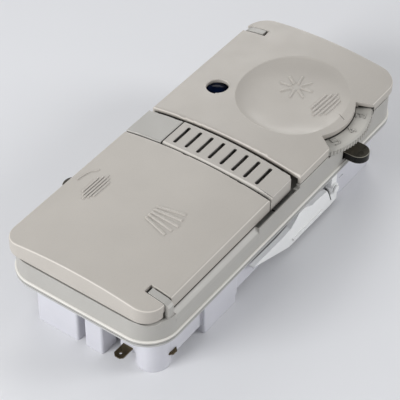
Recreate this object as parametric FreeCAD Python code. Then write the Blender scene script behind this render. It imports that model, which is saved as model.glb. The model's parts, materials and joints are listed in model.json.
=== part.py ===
import FreeCAD, Part
import math
import os

V = FreeCAD.Vector
ALONG = V(1, 0, 0)
ACROSS = V(0, 1, 0)
UP = V(0, 0, 1)

# Driving dimensions in mm. Z is up from the lowest feet, X runs to the rinse-aid end, Y across.
# Frame in plan
HALF_WIDTH = 50.5          # frame half width
X_FRONT = -123.0           # detergent end of the frame
X_FAR = 117.0              # rinse-aid end of the frame
FRAME_CORNER = 18.0        # plan radius of the frame's corners
WALL = 2.4                 # frame wall
RIM_OUT = 1.0              # overhang of the rim lip

# Heights, each from the one named
RIM_LOW = 28.9             # feet to the underside of the frame
RIM_H = 1.6                # rim lip
DECK_UP = 9.1              # underside of the frame to the deck
DECK_T = 2.4               # deck
DET_WALL_H = 14.2          # underside of the frame to the top of the wall under the detergent lid
RINSE_WALL_H = 17.5        # the same under the rinse-aid lid
EDGE_H = 23.1              # underside of the frame to the top's long edges
CROWN = 4.7                # rise of the top at mid-width

# Lids
LID_GAP = 0.2              # how far the lids stand inside the frame's faces
LID_CORNER = 11.0          # plan radius of the detergent lid's corners
RINSE_CORNER = 13.0        # plan radius of the rinse-aid lid's corners
LID_SKIN = 2.4             # top plate of lids and latch
SKIRT = 1.8                # lid side walls
PARTING = 0.5              # open joint between a wall and the skirt over it
EDGE_ROUND = 1.4           # rounding of the lids' top edges
LID_TOE = 1.2              # rounding of the detergent lid's lower edge at its hinge
DET_END = -16.2            # free end of the detergent lid
RINSE_START = 9.3          # free end of the rinse-aid lid
FIT = 0.3                  # gap between moving bodies
RUNNING = 0.05             # radial clearance of running fits
MARK = 0.5                 # height of moulded marks
MARK_W = 1.1               # width of moulded marks
FINE_W = 0.5               # width of the index line

# Moulded marks: on the detergent lid along X from its middle, on the rinse-aid lid from the dish's centre
FAN = (5.2, -4.2)
FAN_PITCH = -2.45          # between the lines at their root
FAN_SPREAD = -4.6          # between their ends
FAN_L = 18.0
DET_HATCH = (4.6, 18.0)    # the second from the frame's left face
DET_HATCH_PITCH = 1.9
DET_HATCH_REACH = 11.2
ARC = ((4.9, 5.0), (11.7, 6.1), (14.9, 7.8), (17.4, 10.3))  # placed as the hatch
STAR = (10.2, 6.2)
STAR_R = (3.0, 10.0)
STAR_TURN = 0.2            # radians
RINSE_HATCH = (6.6, -16.0)
RINSE_HATCH_PITCH = 2.4
RINSE_HATCH_REACH = 12.1
RINSE_HATCH_SLOPE = 0.045
INDEX = ((4.3, -24.8), (1.1, -31.9))

# Shoulder and recess along the right side
SHOULDER_W = 3.2           # frame's face to the detergent lid's side
SHOULDER_H = 3.8           # over the deck
SHOULDER_FOOT = 7.9        # foot of the shoulder's curve over the underside of the frame
SHOULDER_STOP = 14.4       # from the detergent lid's free end
RECESS_STOP = 2.8          # from the rinse-aid lid's free end
RECESS_WALL_H = 3.7        # over the deck
RECESS_LEDGE = 0.9         # wall left outside the recess
RECESS_NOTCH = (5.4, 1.2)  # notch across the recess, its middle from the lid's free end and its width
NOTCH_DEPTH = 1.4          # in the deck

# Hinges
DET_HINGE_IN = 5.0         # axis from the frame's front face
DET_HINGE_UP = 4.9         # axis over the wall
RINSE_HINGE_IN = 3.8       # axis from the frame's far face
RINSE_HINGE_UP = 3.95
PIN_R = 1.5
RINSE_PIN_R = 1.0
ARM_Y = 24.0               # hinge arms, each side of the middle
ARM_W = 5.0
ARM_WALL = 0.6             # arm round its pin
ARM_RUN = 15.0             # arm from its axis to the back of its foot
ARM_FOOT = 7.0             # axis to the front of the foot
KNUCKLE_WALL = 0.75
KNUCKLE_GAP = 0.4

# Detergent cup
CUP_IN = 31.0              # inside of the cup from the frame's front face
CUP_OFF = 11.8             # from the detergent lid's free end
CUP_RIGHT = 11.5           # from the frame's right face
CUP_LEFT = 21.5            # from the frame's left face
CUP_UP = 3.9               # rim over the wall
CUP_DEPTH = 32.0
CUP_WALL = 2.0
CUP_CORNER = 8.0
CUP_FLANGE = 1.6           # flange on the deck, past the cup's wall
CUP_FLANGE_T = 1.2
SEAL_H = 2.0

# Latch and the fixed block beside it
BLOCK_Y = 26.4             # right end of the block
BLOCK_SIDE = 0.3           # from the frame's left face
BLOCK_START = 0.7          # from the detergent lid's free end
BLOCK_STOP = 3.3           # from the rinse-aid lid's free end
LATCH_START = 0.7
LATCH_STOP = 3.0
LATCH_SIDE = 3.2           # from the frame's right face
LATCH_PART = 0.8           # joint between latch and block
LATCH_UP = 3.1             # over the deck
LATCH_WALL = 1.8
LATCH_END_WALL = 5.0
LATCH_CUT = 2.2            # cut corner
LATCH_ROUND = 0.6
LATCH_SLOPE = (1.1, 1.3)   # sloped front edge, its run and drop
LATCH_TRAVEL = 2.2
SLOT_COUNT = 8
SLOT_PITCH = 7.8
SLOT_W = 2.1
SLOT_FIRST = 6.0           # from the latch's left end
SLOT_IN = 3.4              # from the latch's front
SLOT_OUT = 2.9             # from the latch's back
LEG_BACK = 9.5             # guide legs from the latch's front
LEG_L = 6.0
LEG_W = 3.0
LEG_IN = 6.0               # from the latch's ends
LEG_DROP = 2.6             # below the deck
LEG_HOOK = 1.2
LEG_SLACK = 0.5            # round the legs in the deck
POST_W = 8.0               # spring post on the deck
POST_T = 2.0
POST_H = 7.6
POST_IN = 7.8              # from the rinse-aid lid's free end
SPRING_Y = -8.0
SPRING_UP = 2.1            # latch spring over the latch's lower edge
SPRING_R = 1.5
SPRING_WIRE = 0.3
SPRING_TURNS = 6
RIB_IN = 4.9               # spring rib from the latch's front
RIB_T = 1.2

# Filler, dish and dosing dial
DISH = (62.0, -12.5)       # common centre in plan
DISH_R = 34.3
DISH_UP = 0.4              # dish floor over the top's long edges
DISH_WALL = 3.4            # rise from the floor to the dish's edge
# The dish's section, as shares of its radius and rise
DISH_SWEEP = ((0, 0), (0.42, 0.03), (0.7, 0.13), (0.87, 0.42), (1, 1), (1.1, 1.75))
DISH_SKIN = 2.5
DISH_RIM = 1.6             # lid round the dish
COLLAR_BORE = 26.0
COLLAR_WALL = 4.5
COLLAR_FLANGE = 2.5        # step that carries the dial
COLLAR_PEG_R = 1.5
COLLAR_PEGS = 4
FILL_HOLE_R = 9.5
RINSE_SEAL_H = 0.55
RINSE_SEAL_W = 5.4
SEAL_GAP = 0.35
STRAINER_LAP = 3.5
STRAINER_T = 1.2
STRAINER_HOLE_R = 1.6
STRAINER_PCD = 10.0
DIAL_RING = 5.5            # ring round the collar
DIAL_RING_H = 2.2
DIAL_BAND = 8.0            # numbered band outside the ring
DIAL_LAP = 1.5             # band over the ring
DIAL_H = 3.3
DIAL_OVER = 0.9            # under the lid
DIAL_CLEAR = 1.0           # round the band
DIAL_ROUND = 1.6
DIAL_HALF_ANGLE = 50.0
DIAL_RIDGE_R = 0.55
DIAL_RIDGE_STEP = 3.0      # degrees
DIGIT_IN = 6.0             # middle of the digits from the dial's edge
DIGIT_W = 3.4
DIGIT_H = 5.0
DIGIT_LINE = 0.7
NOTCH_HALF_ANGLE = 32.0
SIGHT = (43.3, 29.2)       # sight window in plan
SIGHT_R = 6.4
SIGHT_DOWN = 0.8           # window's tube below the top's long edges
SIGHT_PROUD = 2.6          # window over its tube, in the lid's hole
SIGHT_SEAT = 3.0
SIGHT_LEDGE = 1.2
SIGHT_WALL = 1.6
SIGHT_DOME = 16.0
SIGHT_FLARE = 1.0

# Guide tabs through the lids' corners
TAB_W = 4.2
TAB_T = 2.0
TAB_LEG = 2.6
TAB_IN = 12.8              # from the frame's front face
TAB_REACH = 13.0
RINSE_TAB_IN = 12.2        # from the frame's far face
TAB_SIDE = 0.4             # slot beside the tab, towards the hinge
TAB_FREE = 1.2             # slot beside the tab, away from the hinge
TAB_END = 2.0              # slot past the tab's end
TAB_SET = 0.8              # tab's outer face from the lid's side

# Rear housing
FOOT_H = 6.0               # feet to the underside of the floor
HOUSING_FRONT = 14.0       # from the frame's front face
HOUSING_FAR = 15.0         # from the frame's far face
HOUSING_SIDE = 5.0         # from the frame's sides
HOUSING_WALL = 2.0
HOUSING_CORNER = 7.0
PARTITION_IN = 6.3         # from the rinse-aid lid's free end
FRONT_BLOCK_IN = 3.5       # front blocks from the frame's front face
FRONT_BLOCKS = ((3.5, 31.2), (-13.0, -1.0))
FRONT_RIB = 1.6
BLOCK_ROUND = 1.5
BLOCK_SHELL = 1.8
BLOCK_DROP = 0.3           # blocks below the gasket
BOSS_IN = 17.0             # round boss from the frame's front face
BOSS_R = 9.5
SIDE_BLOCK = (-76.0, -46.0)
SIDE_BLOCK_OUT = 2.0
SIDE_BLOCK_DROP = 6.3
FAR_BLOCK = (55.5, 94.0)
FAR_BLOCK_OUT = 1.3
FAR_SLOT = (58.8, 62.9, 12.6, 13.5)  # slot in the far block's face, in X and Z
FAR_SLOT_DEPTH = 1.2
FAR_FOOT = (58.0, 86.0)
BLOCK_DEPTH = 10.0
FOOT_W = 11.0

# Gasket under the rim
GASKET_H = 1.2
GASKET_NECK = 0.9
GASKET_IN = -0.8           # lip from the frame's faces
GASKET_W = 2.8
GASKET_LIP = 0.8

# Mounting bolts
BOLT_W = 12.8
BOLT_H = 4.8
BOLT_UP = 3.7              # over the underside of the frame
BOLT_OUT = 12.0            # tip from the frame's side
BOLT_IN = 8.5              # tail from the frame's side
BOLT_POCKET = 17.0         # pocket's back from the frame's side
POCKET_WALL = 2.0
BOLT_RIGHT_X = 62.0
BOLT_LEFT_X = -56.0
BOLT_CLEAR = 0.4
BOLT_BORE_R = 1.7
BOLT_BORE_L = 10.0
BOLT_ROUND = 0.8
BOLT_NOTCH = (8.0, 9.5)    # wall notch over the right bolt, each side of its middle
BOLT_SPRING_R = 1.1
BOLT_SPRING_WIRE = 0.25
BOLT_SPRING_TURNS = 6

# Actuator lever along the right side
LEVER_GAP = 0.9
LEVER_T = 3.2
LEVER_PIVOT = (48.0, 15.0)
LEVER_HUB_R = 3.6
LEVER_HUB_OUT = 1.2
LEVER_PIN_R = 1.6
LEVER_PIN_HEAD = 2.4
LEVER_RIB = 1.0
LEVER_SLIT = 1.1
LEVER_ARM = (-2.4, 3.2)    # upright arm, each side of the pivot
LEVER_ARM_GAP = 2.3        # under the gasket, clear of the door sheet
# The lever's outline in X and Z: its sweep from the free end, its foot from the pivot, and its top
LEVER_SWEEP = ((-33.5, 16.6), (2.5, 3.2))
LEVER_FOOT = ((-1.5, -12.4), (4.8, -11.6), (4.6, 0))
LEVER_HEEL = (-6.0, 2.0)
LEVER_BACK = ((30.0, 18.6), (24.5, 18.6), (18.0, 22.6), (11.5, 22.6), (8.8, 20.2),
              (3.6, 16.7), (-6.0, 16.0))
LEVER_RIB_BOX = (6.0, 36.0, 6.0, 7.4)
LEVER_HOOK = ((-6.4, 1.6), (-4.4, -2.0), (-1.9, -8.8))  # slit's left side from the pivot

# Blade terminals
BLADE_W = 6.3
BLADE_T = 0.8
BLADE_L = 10.5             # side blade
BLADE_HOLE_R = 0.85
BLADE_POINT = 1.6
FRONT_BLADE_TIP = 0.5      # front blade from the frame's front face
FRONT_BLADE_Y = -25.0
FRONT_BLADE_UP = 2.6       # over the floor's underside
HOLDER_L = 4.0             # front blade's holder before the housing's wall
SIDE_BLADE_X = -102.0
SIDE_BLADE_OUT = 2.0       # tip from the housing's side
SIDE_BLADE_UP = 2.6        # over the floor's underside

# Wax motor
MOTOR_L = 14.0
MOTOR_W = 26.0
MOTOR_H = 22.0
MOTOR_SIDE = 3.5           # from the housing's right wall
MOTOR_OFF = 5.8            # from the detergent lid's free end
MOTOR_NECK_R = 4.0
MOTOR_NECK_L = 5.5

# Housing screws
SCREW_R = 1.4
SCREW_HEAD_R = 3.0
SCREW_HEAD_H = 1.8
SCREW_L = 20.0
SCREW_IN = 7.0             # from the housing's ends
SCREW_SIDE = 7.5           # from the housing's sides
SCREW_MID = 14.0
SCREW_POST_R = 4.0
SCREW_SEAT_R = 5.4
SCREW_SEAT_H = 8.0
SCREW_DRIVE = 0.8

# Heights and places that follow
RIM_HIGH = RIM_LOW + RIM_H
DECK_LOW = RIM_LOW + DECK_UP
DECK_TOP = DECK_LOW + DECK_T
DET_WALL_TOP = RIM_LOW + DET_WALL_H
RINSE_WALL_TOP = RIM_LOW + RINSE_WALL_H
EDGE_Z = RIM_LOW + EDGE_H
HIGH = EDGE_Z + 3 * CROWN
DET_AXIS = (X_FRONT + DET_HINGE_IN, DET_WALL_TOP + DET_HINGE_UP)
RINSE_AXIS = (X_FAR - RINSE_HINGE_IN, RINSE_WALL_TOP + RINSE_HINGE_UP)
DET_RIGHT = -HALF_WIDTH + SHOULDER_W
CUP = (X_FRONT + CUP_IN, DET_END - CUP_OFF, -HALF_WIDTH + CUP_RIGHT, HALF_WIDTH - CUP_LEFT)
CUP_RIM = DET_WALL_TOP + CUP_UP
LATCH = (DET_END + LATCH_START, RINSE_START - LATCH_STOP, -HALF_WIDTH + LATCH_SIDE, BLOCK_Y - LATCH_PART)
LATCH_LOW = DECK_TOP + LATCH_UP
DISH_FLOOR = EDGE_Z + DISH_UP
DISH_LOW = DISH_FLOOR - DISH_SKIN
COLLAR_R = COLLAR_BORE + COLLAR_WALL
COLLAR_TOP = DISH_LOW - RINSE_SEAL_H - SEAL_GAP
DIAL_RING_R = COLLAR_R + DIAL_RING
DIAL_R = DIAL_RING_R + DIAL_BAND
DIAL_TOP = DISH_LOW - DIAL_OVER
DIAL_LOW = DIAL_TOP - DIAL_H
SIGHT_TOP = EDGE_Z - SIGHT_DOWN
HOUSING = (X_FRONT + HOUSING_FRONT, X_FAR - HOUSING_FAR, HALF_WIDTH - HOUSING_SIDE)
FLOOR_TOP = FOOT_H + HOUSING_WALL
GASKET_LOW = RIM_LOW - GASKET_NECK - GASKET_H
BOLT_LOW = RIM_LOW + BOLT_UP
BOLT_HIGH = BOLT_LOW + BOLT_H
LEVER_Y = (-HOUSING[2] - LEVER_GAP - LEVER_T, -HOUSING[2] - LEVER_GAP)
SCREWS = (
    (HOUSING[0] + SCREW_IN, HOUSING[2] - SCREW_SIDE),
    (HOUSING[0] + SCREW_IN, -SCREW_MID),
    (HOUSING[1] - SCREW_IN, 2 * SCREW_MID),
    (HOUSING[1] - SCREW_IN, -2 * SCREW_MID),
)


def box(x0, x1, y0, y1, z0, z1):
    """Block between two corners."""
    return Part.makeBox(x1 - x0, y1 - y0, z1 - z0, V(x0, y0, z0))


def upright(solid):
    """Vertical edges."""
    return [e for e in solid.Edges if abs(e.tangentAt(e.FirstParameter).z) > 0.99]


def rounded_box(x0, x1, y0, y1, z0, z1, r):
    """Block with rounded vertical edges."""
    solid = box(x0, x1, y0, y1, z0, z1)
    return solid.makeFillet(r, upright(solid))


def frame_slab(inset, z0, z1):
    """Slab with the frame's plan, made smaller all round."""
    half = HALF_WIDTH - inset
    return rounded_box(X_FRONT + inset, X_FAR - inset, -half, half, z0, z1, FRAME_CORNER - inset)


def rod(x, y, z, r, h, axis):
    """Cylinder from a point along an axis."""
    return Part.makeCylinder(r, h, V(x, y, z), axis)


def tube(x, y, z, r_out, r_in, h):
    """Upright tube."""
    return rod(x, y, z, r_out, h, UP).cut(rod(x, y, z, r_in, h, UP))


def plate_xz(points, y0, y1):
    """Plate with an outline in X and Z, from y0 to y1."""
    wire = Part.makePolygon([V(x, y0, z) for x, z in points + points[:1]])
    return Part.Face(wire).extrude(V(0, y1 - y0, 0))


def plate_yz(points, x0, x1):
    """Plate with an outline in Y and Z, from x0 to x1."""
    wire = Part.makePolygon([V(x0, y, z) for y, z in points + points[:1]])
    return Part.Face(wire).extrude(V(x1 - x0, 0, 0))


def joined(shapes):
    """Shapes joined, for one cut or as one solid."""
    return shapes[0].multiFuse(shapes[1:])


def fused(shapes):
    """One solid from overlapping ones, without seams."""
    return joined(shapes).removeSplitter()


def crown_radius():
    """Radius of the crowned top across the width."""
    half = HALF_WIDTH - LID_GAP
    return (half ** 2 + CROWN ** 2) / (2 * CROWN)


def crown(down):
    """Everything under the crowned top, less a depth."""
    radius = crown_radius()
    start = X_FRONT - HALF_WIDTH
    length = X_FAR - X_FRONT + 2 * HALF_WIDTH
    return rod(start, 0, EDGE_Z + CROWN - radius, radius - down, length, ALONG)


def crown_z(y):
    """Height of the crowned top at a place across the width."""
    radius = crown_radius()
    return EDGE_Z + CROWN - radius + math.sqrt(radius ** 2 - y ** 2)


def hinge_corners(solid, x):
    """Vertical edges of a lid at its hinge end."""
    return [e for e in upright(solid) if abs(e.CenterOfMass.x - x) < SKIRT + 0.01]


def lid_shell(x0, x1, y0, y1, low, hinge_x, corner):
    """Crowned plate with skirts, hollow below, rounded in plan at the hinge end."""
    outer = box(x0, x1, y0, y1, low, HIGH)
    outer = outer.makeFillet(corner, hinge_corners(outer, hinge_x)).common(crown(0))
    middle = (low + EDGE_Z) / 2
    outer = outer.makeFillet(EDGE_ROUND, [e for e in outer.Edges if e.BoundBox.ZMin > middle])
    inner = box(x0 + SKIRT, x1 - SKIRT, y0 + SKIRT, y1 - SKIRT, low - 1, HIGH)
    inner = inner.makeFillet(corner - SKIRT, hinge_corners(inner, hinge_x))
    return outer.cut(inner.common(crown(LID_SKIN)))


def bar(x0, y0, x1, y1, width):
    """Tall upright bar between two points in plan, for moulded marks."""
    length = math.hypot(x1 - x0, y1 - y0)
    solid = box(0, length, -width / 2, width / 2, 0, HIGH)
    solid.rotate(V(0, 0, 0), UP, math.degrees(math.atan2(y1 - y0, x1 - x0)))
    solid.translate(V(x0, y0, 0))
    return solid


def hatch(x, y, pitch, reach, slope):
    """Five lines along X, the middle one longest."""
    lines = []
    for k in range(-2, 3):
        half = reach * (1 - 0.2 * abs(k))
        lines.append((x - half, y - k * pitch + slope * half, x + half, y - k * pitch - slope * half))
    return lines


def fan(x, y, pitch, spread, length):
    """Five lines that spread towards the right side."""
    lines = []
    for k in range(-2, 3):
        lines.append((x + k * pitch, y, x + k * spread, y - length * (1 - 0.06 * abs(k))))
    return lines


def star(x, y, r_in, r_out):
    """Eight rays round a point."""
    rays = []
    for k in range(8):
        a = math.pi * k / 4 + STAR_TURN
        c, s = math.cos(a), math.sin(a)
        rays.append((x + r_in * c, y + r_in * s, x + r_out * c, y + r_out * s))
    return rays


def crown_marks(lines, width):
    """Raised bars on the crowned top."""
    skin = crown(-MARK).cut(crown(LID_SKIN / 2))
    return [bar(*line, width).common(skin) for line in lines]


def hinge_arms(axis, pin_r, inward):
    """Two arms from the deck that hold a lid's hinge pin."""
    x, z = axis
    r = pin_r + ARM_WALL
    root = x + inward * ARM_RUN
    foot = x + inward * ARM_FOOT
    arms = []
    for side in (-1, 1):
        y0 = side * ARM_Y - ARM_W / 2
        arms.append(rod(x, y0, z, r, ARM_W, ACROSS))
        arms.append(box(min(x, root), max(x, root), y0, y0 + ARM_W, z - r, z + r))
        arms.append(box(min(foot, root), max(foot, root), y0, y0 + ARM_W, DECK_LOW, z + r))
    return arms


def knuckles(axis, pin_r):
    """Two knuckles under a lid, outside the hinge arms, and their bore."""
    x, z = axis
    r = pin_r + KNUCKLE_WALL
    start = ARM_Y + ARM_W / 2 + KNUCKLE_GAP
    parts = []
    for y0 in (start, -start - ARM_W):
        web = box(x - r, x + r, y0, y0 + ARM_W, z, HIGH).common(crown(LID_SKIN / 2))
        parts.append(web.fuse(rod(x, y0, z, r, ARM_W, ACROSS)))
    bore = rod(x, -start - 2 * ARM_W, z, pin_r + RUNNING, 2 * start + 4 * ARM_W, ACROSS)
    return parts, bore


def hinge_pin(axis, r):
    """Pin through arms and knuckles."""
    half = ARM_Y + ARM_W / 2 + KNUCKLE_GAP + ARM_W
    return rod(axis[0], -half, axis[1], r, 2 * half, ACROSS)


def swing_cut(axis, reach, y0):
    """Room under a hinge for the lower edge of its lid."""
    below = box(axis[0] - HALF_WIDTH, axis[0] + HALF_WIDTH, y0, HALF_WIDTH + 1, 0, axis[1])
    return rod(axis[0], y0, axis[1], reach + FIT, 2 * HALF_WIDTH, ACROSS).common(below)


def tab_profile():
    """Outline in Y and Z of a guide tab on the right side: up the wall, then over the lid."""
    outer = -HALF_WIDTH + LID_GAP + TAB_SET
    end = outer + TAB_REACH
    bend = outer + TAB_LEG + TAB_T
    points = [(outer, DECK_LOW), (outer, EDGE_Z - TAB_T), (outer + TAB_T / 2, EDGE_Z - TAB_T / 5)]
    points += [(y, crown_z(y) - TAB_T / 20) for y in (outer + TAB_REACH / 4, outer + TAB_REACH / 2, end)]
    points += [(end, crown_z(end) - TAB_T), (bend, crown_z(bend) - TAB_T)]
    points += [(outer + TAB_LEG, EDGE_Z - 2 * TAB_T), (outer + TAB_LEG, DECK_LOW)]
    return points


def tab_slot(axis, near, far, low):
    """Slot through a lid's right side for a tab, eased low down where the skirt swings by."""
    away = 1 if far > near else -1
    outer = -HALF_WIDTH - 1
    inner = -HALF_WIDTH + LID_GAP + TAB_SET + TAB_REACH + TAB_END
    xs = sorted((near - away * TAB_SIDE, far + away * TAB_FREE))
    slot = box(*xs, outer, inner, low - 1, HIGH)
    reach = abs(near - axis[0]) - FIT
    eased = axis[0] + away * math.sqrt(reach ** 2 - (axis[1] - low) ** 2)
    xs = sorted((eased, far))
    skirt = -HALF_WIDTH + SHOULDER_W + 2 * SKIRT
    return slot.fuse(box(*xs, outer, skirt, low - 1, axis[1] - FIT))


def half_turn(solid):
    """Turned half round Z, for what is on the left side."""
    solid.rotate(V(0, 0, 0), UP, 180)
    return solid


def bolt_pocket(x, side):
    """Block and cavity for a mounting bolt."""
    half = BOLT_W / 2 + BOLT_CLEAR
    back = HALF_WIDTH - BOLT_POCKET
    ys = sorted((side * (HALF_WIDTH - WALL / 4), side * (back - POCKET_WALL)))
    block = box(x - half - POCKET_WALL, x + half + POCKET_WALL, *ys, RIM_HIGH, DECK_LOW + DECK_T / 2)
    ys = sorted((side * (HALF_WIDTH + BOLT_OUT), side * back))
    cavity = box(x - half, x + half, *ys, BOLT_LOW - BOLT_CLEAR, BOLT_HIGH + BOLT_CLEAR)
    return block, cavity


def frame_shell():
    """Frame walls with rim and deck, stepped down under the detergent lid and eased at the hinges."""
    lip = frame_slab(-RIM_OUT, RIM_LOW, RIM_HIGH)
    lip = lip.makeChamfer(RIM_OUT * 0.6, [e for e in lip.Edges if e.BoundBox.ZMin > RIM_HIGH - 0.01])
    shell = frame_slab(0, RIM_LOW, RINSE_WALL_TOP).fuse(lip)
    shell = shell.cut(frame_slab(WALL, RIM_LOW - 1, DECK_LOW))
    shell = shell.cut(frame_slab(WALL, DECK_TOP, HIGH))
    step = box(X_FRONT - 1, DET_END + PARTING, -HALF_WIDTH - 1, HALF_WIDTH + 1, DET_WALL_TOP, HIGH)
    toe_x = DET_HINGE_IN - LID_GAP - LID_TOE
    toe_z = DET_HINGE_UP - PARTING - LID_TOE
    det_swing = swing_cut(DET_AXIS, math.hypot(toe_x, toe_z) + LID_TOE, DET_RIGHT - FIT)
    heel = math.hypot(RINSE_HINGE_IN - LID_GAP, RINSE_HINGE_UP - PARTING)
    rinse_swing = swing_cut(RINSE_AXIS, heel, -HALF_WIDTH - 1)
    return shell.cut(joined([step, det_swing, rinse_swing]))


def right_shoulder():
    """Rounded shoulder beside the detergent lid, the recess after it, and the room and notch they need."""
    inner = DET_RIGHT - FIT
    start = X_FRONT + FRAME_CORNER
    stop = DET_END - SHOULDER_STOP
    end = RINSE_START - PARTING
    foot = RIM_LOW + SHOULDER_FOOT
    room = box(start, stop, -HALF_WIDTH - 1, inner, foot, HIGH)
    room = room.fuse(box(stop, end, -HALF_WIDTH - 1, inner, DECK_LOW + DECK_T / 2, HIGH))
    rise = DECK_TOP + SHOULDER_H - foot
    middle = math.sqrt(0.5)
    low = V(start, -HALF_WIDTH, foot)
    high = V(start, inner, foot + rise)
    bulge = V(start, inner - (inner + HALF_WIDTH) * middle, foot + rise * middle)
    corner = V(start, inner, foot)
    lines = [Part.makeLine(high, corner), Part.makeLine(corner, low)]
    section = Part.Face(Part.Wire([Part.Arc(low, bulge, high).toShape()] + lines))
    shoulder = section.extrude(ALONG * (stop - start))
    recess = box(stop, end, -HALF_WIDTH, inner, DECK_LOW, DECK_TOP + RECESS_WALL_H)
    ledge = -HALF_WIDTH + RECESS_LEDGE
    hollow = box(stop + FIT, RINSE_START - RECESS_STOP, ledge, inner + 1, DECK_TOP, HIGH)
    notch_x = DET_END + RECESS_NOTCH[0] - RECESS_NOTCH[1] / 2
    notch = box(notch_x, notch_x + RECESS_NOTCH[1], ledge, inner + WALL, DECK_TOP - NOTCH_DEPTH, HIGH)
    return room, [shoulder, recess.cut(hollow)], notch


def latch_legs():
    """X of the guide legs and the Y of each."""
    x = LATCH[0] + LEG_BACK
    return x, (LATCH[3] - LEG_IN + LEG_W / 2, LATCH[2] + LEG_IN)


def make_frame():
    """Front frame with deck, hinge arms, tabs and bolt pockets."""
    room, sides, notch = right_shoulder()
    add = [frame_shell().cut(room)] + sides
    block_y = (BLOCK_Y, HALF_WIDTH - BLOCK_SIDE)
    block = box(DET_END + BLOCK_START, RINSE_START - BLOCK_STOP, *block_y, DECK_LOW, HIGH).common(crown(0))
    add.append(block.makeFillet(LATCH_ROUND, [e for e in block.Edges if e.BoundBox.ZMin > LATCH_LOW]))
    add.append(rod(*SIGHT, DECK_LOW, SIGHT_R + SIGHT_WALL, SIGHT_TOP - DECK_LOW, UP))
    add += hinge_arms(DET_AXIS, PIN_R, 1)
    add += hinge_arms(RINSE_AXIS, RINSE_PIN_R, -1)
    add.append(plate_yz(tab_profile(), X_FRONT + TAB_IN, X_FRONT + TAB_IN + TAB_W))
    far_tab = X_FAR - RINSE_TAB_IN
    add.append(half_turn(plate_yz(tab_profile(), -far_tab, TAB_W - far_tab)))
    right_pocket, right_cavity = bolt_pocket(BOLT_RIGHT_X, -1)
    left_pocket, left_cavity = bolt_pocket(BOLT_LEFT_X, 1)
    add += [right_pocket, left_pocket]
    post_low = FOOT_H + SCREW_SEAT_H
    for x, y in SCREWS:
        add.append(rod(x, y, post_low, SCREW_POST_R, DECK_LOW + DECK_T / 2 - post_low, UP))
    post_x = RINSE_START - POST_IN
    post_y = SPRING_Y - POST_W / 2
    add.append(box(post_x, post_x + POST_T, post_y, post_y + POST_W, DECK_LOW, DECK_TOP + POST_H))

    cut = [notch, cup_block(CUP_WALL + RUNNING, RIM_LOW, HIGH)]
    cut += collar_pegs(COLLAR_PEG_R + RUNNING)
    cut.append(rod(*DISH, RIM_LOW, FILL_HOLE_R, HIGH - RIM_LOW, UP))
    cut.append(rod(*SIGHT, RIM_LOW, SIGHT_R - SIGHT_LEDGE, HIGH - RIM_LOW, UP))
    cut.append(rod(*SIGHT, SIGHT_TOP - SIGHT_SEAT, SIGHT_R, SIGHT_SEAT, UP))
    cut.append(hinge_pin(DET_AXIS, PIN_R))
    cut.append(hinge_pin(RINSE_AXIS, RINSE_PIN_R))
    cut += [right_cavity, left_cavity]
    wall = (-HALF_WIDTH - WALL, -HALF_WIDTH + WALL)
    gap = (BOLT_RIGHT_X - BOLT_NOTCH[0], BOLT_RIGHT_X + BOLT_NOTCH[1])
    cut.append(box(*gap, *wall, BOLT_LOW - 2 * BOLT_CLEAR, HIGH))
    dial = tube(*DISH, DIAL_LOW - DIAL_OVER, DIAL_R + DIAL_CLEAR, COLLAR_R + COLLAR_FLANGE, HIGH - DIAL_LOW)
    cut.append(dial.common(box(X_FRONT, X_FAR, -2 * HALF_WIDTH, -HALF_WIDTH + 3 * WALL, 0, 2 * HIGH)))
    leg_x, leg_ys = latch_legs()
    for y in leg_ys:
        cut.append(box(leg_x - LEG_SLACK, leg_x + LEG_L + LATCH_TRAVEL + LEG_SLACK,
                       y - LEG_SLACK, y + LEG_W + LEG_SLACK, RIM_LOW, HIGH))
    for x, y in SCREWS:
        cut.append(rod(x, y, FOOT_H, SCREW_R, SCREW_L + SCREW_HEAD_H, UP))
    return fused(add).cut(joined(cut))


def cup_block(wall, z0, z1):
    """Block with the detergent cup's plan, made larger all round by a wall."""
    x0, x1, y0, y1 = CUP
    return rounded_box(x0 - wall, x1 + wall, y0 - wall, y1 + wall, z0, z1, CUP_CORNER + wall)


def make_cup():
    """Detergent cup, hung in the deck by its flange."""
    low = CUP_RIM - CUP_DEPTH
    cup = cup_block(CUP_WALL, low - CUP_WALL, CUP_RIM)
    flange = cup_block(CUP_WALL + CUP_FLANGE, DECK_TOP, DECK_TOP + CUP_FLANGE_T)
    return fused([cup, flange]).cut(cup_block(0, low, HIGH))


def collar_pegs(r):
    """Pegs of the filler's collar through the deck, or their holes."""
    pegs = []
    for k in range(COLLAR_PEGS):
        a = 2 * math.pi * (k + 0.5) / COLLAR_PEGS
        x = DISH[0] + (COLLAR_BORE + COLLAR_WALL / 2) * math.cos(a)
        y = DISH[1] + (COLLAR_BORE + COLLAR_WALL / 2) * math.sin(a)
        pegs.append(rod(x, y, DECK_LOW, r, DECK_T, UP))
    return pegs


def make_collar():
    """Collar round the filler, with the step that carries the dial."""
    collar = rod(*DISH, DECK_TOP, COLLAR_R, COLLAR_TOP - DECK_TOP, UP)
    step = rod(*DISH, DECK_TOP, COLLAR_R + COLLAR_FLANGE, DIAL_LOW - RUNNING - DECK_TOP, UP)
    ring = fused([collar, step]).cut(rod(*DISH, DECK_TOP, COLLAR_BORE, HIGH, UP))
    return fused([ring] + collar_pegs(COLLAR_PEG_R))


def open_block(x0, x1, y0, y1, z1):
    """Moulded block of the housing, standing on the feet's plane and open below."""
    outer = rounded_box(x0, x1, y0, y1, 0, z1, BLOCK_ROUND)
    w = BLOCK_SHELL
    return outer.cut(box(x0 + w, x1 - w, y0 + w, y1 - w, -1, z1 - w))


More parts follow.
